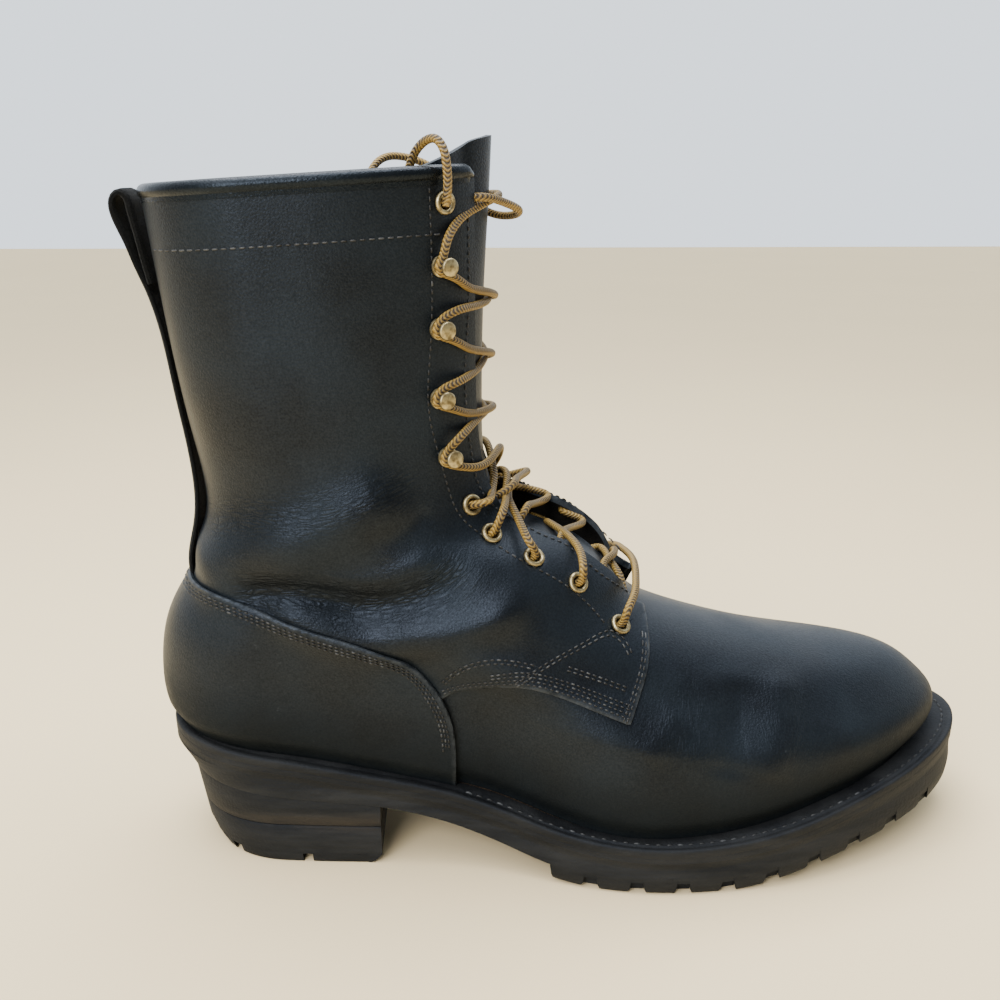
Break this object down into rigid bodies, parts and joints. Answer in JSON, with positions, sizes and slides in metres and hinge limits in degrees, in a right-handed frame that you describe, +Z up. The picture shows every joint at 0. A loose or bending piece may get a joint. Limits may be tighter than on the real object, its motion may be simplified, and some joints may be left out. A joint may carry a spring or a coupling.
{
  "type": "leather boot",
  "caption": "Tall black leather lace-up work boot for the right foot, with heel counter, tongue, pull strap, brass eyelets and hooks, raised stacked heel and lugged rubber sole.",
  "frame": {"origin": "middle of the boot's outer box, on the floor that the heel and forefoot stand on", "axes": "+X towards the toe, +Y towards the medial side, +Z up"},
  "size_m": [0.3566, 0.1284, 0.2948],
  "materials": {
    "black_leather": "oiled, smooth grain, softly glossy",
    "rough_leather": "napped flesh side, matte",
    "footbed_leather": "worn, matte",
    "black_rubber": "moulded, scuffed, matte",
    "aged_brass": "antique, dull",
    "gold_lace": "round braid, gold with brown flecks"
  },
  "bodies": {
    "root": {"upper": "black_leather", "counter": "black_leather", "collar_binding": "black_leather", "tongue": "black_leather", "back_strap": "rough_leather", "insole": "footbed_leather", "welt": "black_rubber", "midsole": "black_rubber", "outsole": "black_rubber", "heel_block": "black_rubber", "heel_lift": "black_rubber", "eyelet_lateral_1": "aged_brass", "eyelet_lateral_2": "aged_brass", "eyelet_lateral_3": "aged_brass", "eyelet_lateral_4": "aged_brass", "eyelet_lateral_5": "aged_brass", "eyelet_lateral_6": "aged_brass", "eyelet_medial_1": "aged_brass", "eyelet_medial_2": "aged_brass", "eyelet_medial_3": "aged_brass", "eyelet_medial_4": "aged_brass", "eyelet_medial_5": "aged_brass", "eyelet_medial_6": "aged_brass", "hook_lateral_1": "aged_brass", "hook_lateral_2": "aged_brass", "hook_lateral_3": "aged_brass", "hook_lateral_4": "aged_brass", "hook_medial_1": "aged_brass", "hook_medial_2": "aged_brass", "hook_medial_3": "aged_brass", "hook_medial_4": "aged_brass", "lace_crossing_1": "gold_lace", "lace_crossing_2": "gold_lace", "lace_crossing_3": "gold_lace", "lace_crossing_4": "gold_lace", "lace_crossing_5": "gold_lace", "lace_crossing_6": "gold_lace", "lace_crossing_7": "gold_lace", "lace_crossing_8": "gold_lace", "lace_crossing_9": "gold_lace", "lace_end_lateral": "gold_lace", "lace_end_medial": "gold_lace"}
  },
  "joints": []
}
